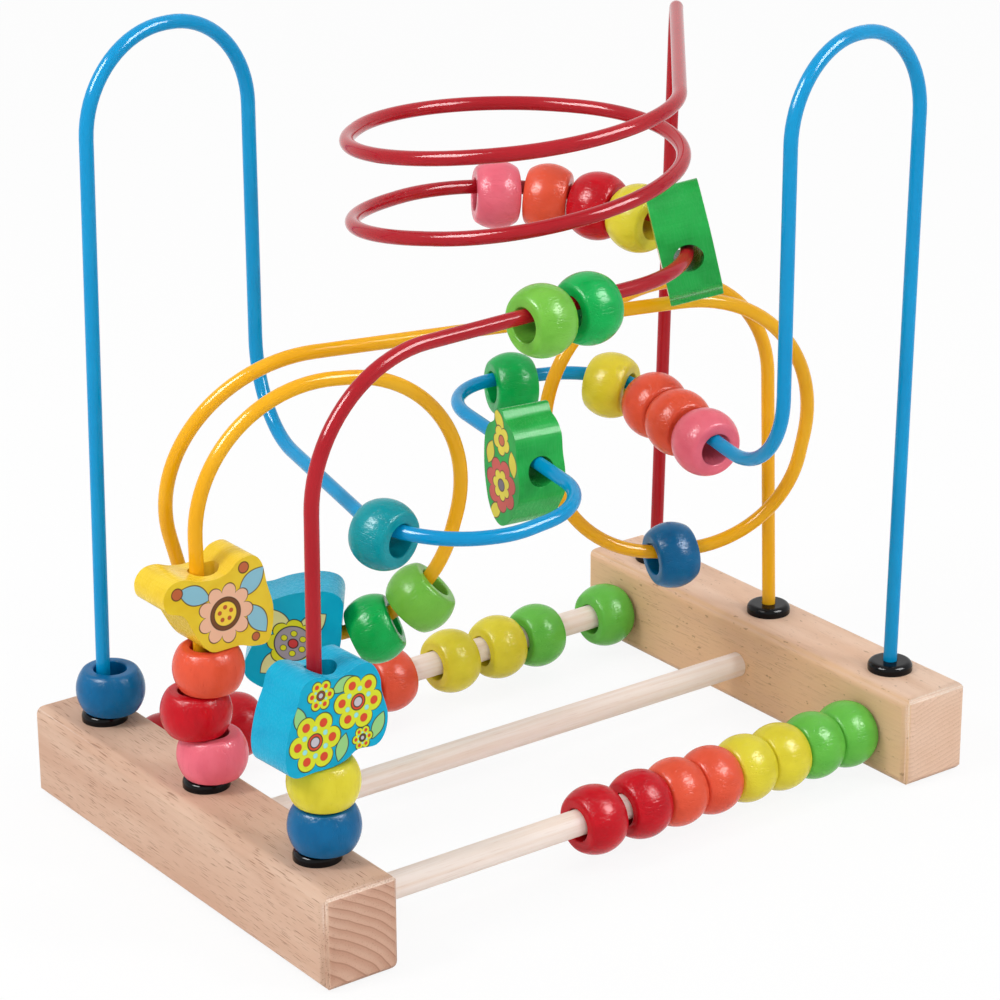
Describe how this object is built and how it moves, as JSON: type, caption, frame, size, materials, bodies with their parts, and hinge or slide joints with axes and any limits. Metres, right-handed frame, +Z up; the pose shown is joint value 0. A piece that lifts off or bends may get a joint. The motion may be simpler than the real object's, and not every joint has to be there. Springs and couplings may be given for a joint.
{
  "type": "bead maze",
  "caption": "Wooden bead maze: two beams tied by dowels carry bent coloured wires with sliding beads and shaped blocks; counting beads run along the outer dowels.",
  "frame": {"origin": "on the table under the middle of the base, midway between the two beams and at the middle of their length", "axes": "+X along the dowels to the right beam, +Y along the beams away from the front row of beads, +Z up"},
  "size_m": [0.2441, 0.161, 0.2421],
  "materials": {
    "beech": "sanded, clear matt lacquer",
    "birch": "sanded",
    "collar": "glossy black",
    "wire_blue": "smooth glossy plastic coat on steel wire",
    "wire_yellow": "smooth glossy plastic coat on steel wire",
    "wire_red": "smooth glossy plastic coat on steel wire",
    "paint_red": "glossy coloured lacquer on turned wood",
    "paint_orange": "glossy coloured lacquer on turned wood",
    "paint_yellow": "glossy coloured lacquer on turned wood",
    "paint_green": "glossy coloured lacquer on turned wood",
    "paint_light_green": "glossy coloured lacquer on turned wood",
    "paint_deep_green": "glossy coloured lacquer on turned wood",
    "paint_pink": "glossy coloured lacquer on turned wood",
    "paint_dark_blue": "glossy coloured lacquer on turned wood",
    "paint_teal": "glossy coloured lacquer on turned wood",
    "block_yellow": "satin paint on sawn wood, printed faces",
    "block_blue": "satin paint on sawn wood, printed faces",
    "block_green": "satin paint on sawn wood, printed faces"
  },
  "bodies": {
    "frame": {"left_beam": "beech", "right_beam": "beech", "front_dowel": "birch", "middle_dowel": "birch", "back_dowel": "birch", "collar_left_front": "collar", "collar_left_middle": "collar", "collar_left_back": "collar", "collar_right_front": "collar", "collar_right_middle": "collar", "collar_right_back": "collar", "blue_wire": "wire_blue", "yellow_wire": "wire_yellow", "red_wire": "wire_red"},
    "front_bead_8": {"front_bead_8": "paint_green"},
    "front_bead_7": {"front_bead_7": "paint_green"},
    "front_bead_6": {"front_bead_6": "paint_yellow"},
    "front_bead_5": {"front_bead_5": "paint_yellow"},
    "front_bead_4": {"front_bead_4": "paint_orange"},
    "front_bead_3": {"front_bead_3": "paint_orange"},
    "front_bead_2": {"front_bead_2": "paint_red"},
    "front_bead_1": {"front_bead_1": "paint_red"},
    "back_bead_1": {"back_bead_1": "paint_red"},
    "back_bead_2": {"back_bead_2": "paint_red"},
    "back_bead_3": {"back_bead_3": "paint_orange"},
    "back_bead_4": {"back_bead_4": "paint_orange"},
    "back_bead_5": {"back_bead_5": "paint_yellow"},
    "back_bead_6": {"back_bead_6": "paint_yellow"},
    "back_bead_7": {"back_bead_7": "paint_green"},
    "back_bead_8": {"back_bead_8": "paint_green"},
    "blue_bead_1": {"blue_bead_1": "paint_dark_blue"},
    "blue_bead_2": {"blue_bead_2": "paint_teal"},
    "blue_block": {"blue_block": "block_green"},
    "blue_bead_3": {"blue_bead_3": "paint_deep_green"},
    "blue_bead_4": {"blue_bead_4": "paint_yellow"},
    "blue_bead_5": {"blue_bead_5": "paint_orange"},
    "blue_bead_6": {"blue_bead_6": "paint_orange"},
    "blue_bead_7": {"blue_bead_7": "paint_pink"},
    "yellow_bead_1": {"yellow_bead_1": "paint_pink"},
    "yellow_bead_2": {"yellow_bead_2": "paint_red"},
    "yellow_bead_3": {"yellow_bead_3": "paint_orange"},
    "yellow_block_1": {"yellow_block_1": "block_yellow"},
    "yellow_bead_5": {"yellow_bead_5": "paint_deep_green"},
    "yellow_bead_4": {"yellow_bead_4": "paint_light_green"},
    "yellow_block_2": {"yellow_block_2": "block_blue"},
    "yellow_bead_6": {"yellow_bead_6": "paint_dark_blue"},
    "red_bead_1": {"red_bead_1": "paint_dark_blue"},
    "red_bead_2": {"red_bead_2": "paint_yellow"},
    "red_block_1": {"red_block_1": "block_blue"},
    "red_bead_3": {"red_bead_3": "paint_light_green"},
    "red_bead_4": {"red_bead_4": "paint_deep_green"},
    "red_block_2": {"red_block_2": "block_green"},
    "red_bead_5": {"red_bead_5": "paint_yellow"},
    "red_bead_6": {"red_bead_6": "paint_red"},
    "red_bead_7": {"red_bead_7": "paint_orange"},
    "red_bead_8": {"red_bead_8": "paint_pink"}
  },
  "joints": [
    {"name": "front_bead_8_slide", "type": "slide", "parent": "frame", "child": "front_bead_8", "axis": [1, 0, 0], "range_m": [-0.008, 0]},
    {"name": "front_bead_7_slide", "type": "slide", "parent": "front_bead_8", "child": "front_bead_7", "axis": [1, 0, 0], "range_m": [-0.008, 0]},
    {"name": "front_bead_6_slide", "type": "slide", "parent": "front_bead_7", "child": "front_bead_6", "axis": [1, 0, 0], "range_m": [-0.008, 0]},
    {"name": "front_bead_5_slide", "type": "slide", "parent": "front_bead_6", "child": "front_bead_5", "axis": [1, 0, 0], "range_m": [-0.008, 0]},
    {"name": "front_bead_4_slide", "type": "slide", "parent": "front_bead_5", "child": "front_bead_4", "axis": [1, 0, 0], "range_m": [-0.008, 0]},
    {"name": "front_bead_3_slide", "type": "slide", "parent": "front_bead_4", "child": "front_bead_3", "axis": [1, 0, 0], "range_m": [-0.008, 0]},
    {"name": "front_bead_2_slide", "type": "slide", "parent": "front_bead_3", "child": "front_bead_2", "axis": [1, 0, 0], "range_m": [-0.008, 0]},
    {"name": "front_bead_1_slide", "type": "slide", "parent": "front_bead_2", "child": "front_bead_1", "axis": [1, 0, 0], "range_m": [-0.019, 0.0032]},
    {"name": "back_bead_1_slide", "type": "slide", "parent": "frame", "child": "back_bead_1", "axis": [1, 0, 0], "range_m": [-0.0016, 0.006]},
    {"name": "back_bead_2_slide", "type": "slide", "parent": "frame", "child": "back_bead_2", "axis": [1, 0, 0], "range_m": [-0.006, 0.0145]},
    {"name": "back_bead_3_slide", "type": "slide", "parent": "frame", "child": "back_bead_3", "axis": [1, 0, 0], "range_m": [-0.0145, 0.0006]},
    {"name": "back_bead_4_slide", "type": "slide", "parent": "frame", "child": "back_bead_4", "axis": [1, 0, 0], "range_m": [-0.0006, 0.0055]},
    {"name": "back_bead_5_slide", "type": "slide", "parent": "frame", "child": "back_bead_5", "axis": [1, 0, 0], "range_m": [-0.0055, 0.0025]},
    {"name": "back_bead_6_slide", "type": "slide", "parent": "frame", "child": "back_bead_6", "axis": [1, 0, 0], "range_m": [-0.0025, 0.0011]},
    {"name": "back_bead_7_slide", "type": "slide", "parent": "frame", "child": "back_bead_7", "axis": [1, 0, 0], "range_m": [-0.0011, 0.0075]},
    {"name": "back_bead_8_slide", "type": "slide", "parent": "frame", "child": "back_bead_8", "axis": [1, 0, 0], "range_m": [-0.0075, 0.0006]},
    {"name": "blue_bead_1_slide", "type": "slide", "parent": "frame", "child": "blue_bead_1", "axis": [0.0073, -0.0195, 0.9998], "range_m": [0, 0.15]},
    {"name": "blue_bead_2_round_bend", "type": "hinge", "parent": "frame", "child": "blue_bead_2", "pos_m": [-0.02783, -0.01541, 0.10725], "axis": [-0.0222, -0.0667, 0.9975], "range_deg": [-10, 45]},
    {"name": "blue_block_slide", "type": "slide", "parent": "frame", "child": "blue_block", "axis": [0.1167, 0.992, 0.0486], "range_m": [-0.006, 0.02]},
    {"name": "blue_bead_3_slide", "type": "slide", "parent": "frame", "child": "blue_bead_3", "axis": [0.9532, -0.3019, -0.0159], "range_m": [0, 0.005]},
    {"name": "blue_bead_4_round_bend", "type": "hinge", "parent": "frame", "child": "blue_bead_4", "pos_m": [0.04098, 0.017, 0.11032], "axis": [0.0085, 0.0793, -0.9968], "range_deg": [-22, 1]},
    {"name": "blue_bead_5_slide", "type": "slide", "parent": "frame", "child": "blue_bead_5", "axis": [-0.1493, -0.9856, -0.0796], "range_m": [0, 0.0024]},
    {"name": "blue_bead_6_slide", "type": "slide", "parent": "blue_bead_5", "child": "blue_bead_6", "axis": [-0.1493, -0.9856, -0.0796], "range_m": [-0.0007, 0.0015]},
    {"name": "blue_bead_7_slide", "type": "slide", "parent": "blue_bead_6", "child": "blue_bead_7", "axis": [-0.1493, -0.9856, -0.0796], "range_m": [-0.0021, 0.0015]},
    {"name": "yellow_bead_1_slide", "type": "slide", "parent": "frame", "child": "yellow_bead_1", "axis": [-0.0043, 0.0086, 1], "range_m": [0, 0.0014]},
    {"name": "yellow_bead_2_slide", "type": "slide", "parent": "yellow_bead_1", "child": "yellow_bead_2", "axis": [-0.0043, 0.0086, 1], "range_m": [0, 0.0014]},
    {"name": "yellow_bead_3_slide", "type": "slide", "parent": "yellow_bead_2", "child": "yellow_bead_3", "axis": [-0.0043, 0.0086, 1], "range_m": [0, 0.0014]},
    {"name": "yellow_block_1_slide", "type": "slide", "parent": "yellow_bead_3", "child": "yellow_block_1", "axis": [-0.0043, 0.0086, 1], "range_m": [0, 0.0014]},
    {"name": "yellow_bead_5_round_bend", "type": "hinge", "parent": "frame", "child": "yellow_bead_5", "pos_m": [-0.05957, 0.01654, 0.10351], "axis": [0.5856, 0.8094, -0.0442], "range_deg": [-10, 0]},
    {"name": "yellow_bead_4_round_bend", "type": "hinge", "parent": "yellow_bead_5", "child": "yellow_bead_4", "pos_m": [-0.05957, 0.01654, 0.10351], "axis": [0.5856, 0.8094, -0.0442], "range_deg": [-10, 0]},
    {"name": "yellow_block_2_swing", "type": "hinge", "parent": "frame", "child": "yellow_block_2", "pos_m": [-0.06443, 0.01772, 0.06007], "axis": [-0.8029, 0.5867, 0.1058], "range_deg": [-40, 40]},
    {"name": "yellow_bead_6_round_bend", "type": "hinge", "parent": "frame", "child": "yellow_bead_6", "pos_m": [0.06348, 0.00096, 0.09681], "axis": [0.415, 0.9092, 0.0328], "range_deg": [-2, 50]},
    {"name": "red_bead_1_slide", "type": "slide", "parent": "frame", "child": "red_bead_1", "axis": [0.0036, -0.0073, 1], "range_m": [0, 0.014]},
    {"name": "red_bead_2_slide", "type": "slide", "parent": "red_bead_1", "child": "red_bead_2", "axis": [0.0036, -0.0073, 1], "range_m": [0, 0.014]},
    {"name": "red_block_1_slide", "type": "slide", "parent": "red_bead_2", "child": "red_block_1", "axis": [0.0036, -0.0073, 1], "range_m": [0, 0.014]},
    {"name": "red_bead_3_slide", "type": "slide", "parent": "frame", "child": "red_bead_3", "axis": [0.9981, 0.0624, 0], "range_m": [-0.033, 0.0016]},
    {"name": "red_bead_4_slide", "type": "slide", "parent": "frame", "child": "red_bead_4", "axis": [0.9981, 0.0624, 0], "range_m": [-0.0016, 0.009]},
    {"name": "red_block_2_round_bend", "type": "hinge", "parent": "frame", "child": "red_block_2", "pos_m": [0.00543, -0.00497, 0.17484], "axis": [0.0038, -0.0602, 0.9982], "range_deg": [-28, 3]},
    {"name": "red_bead_5_round_bend", "type": "hinge", "parent": "frame", "child": "red_bead_5", "pos_m": [0.00543, -0.00497, 0.17484], "axis": [0.0038, -0.0602, 0.9982], "range_deg": [-5, 0]},
    {"name": "red_bead_6_round_bend", "type": "hinge", "parent": "frame", "child": "red_bead_6", "pos_m": [0.00503, -0.00251, 0.1767], "axis": [0.0397, -0.0539, 0.9978], "range_deg": [0, 2]},
    {"name": "red_bead_7_round_bend", "type": "hinge", "parent": "red_bead_6", "child": "red_bead_7", "pos_m": [0.00503, -0.00251, 0.1767], "axis": [0.0397, -0.0539, 0.9978], "range_deg": [0, 5]},
    {"name": "red_bead_8_round_bend", "type": "hinge", "parent": "red_bead_7", "child": "red_bead_8", "pos_m": [0.00503, -0.00251, 0.1767], "axis": [0.0397, -0.0539, 0.9978], "range_deg": [0, 24]}
  ]
}
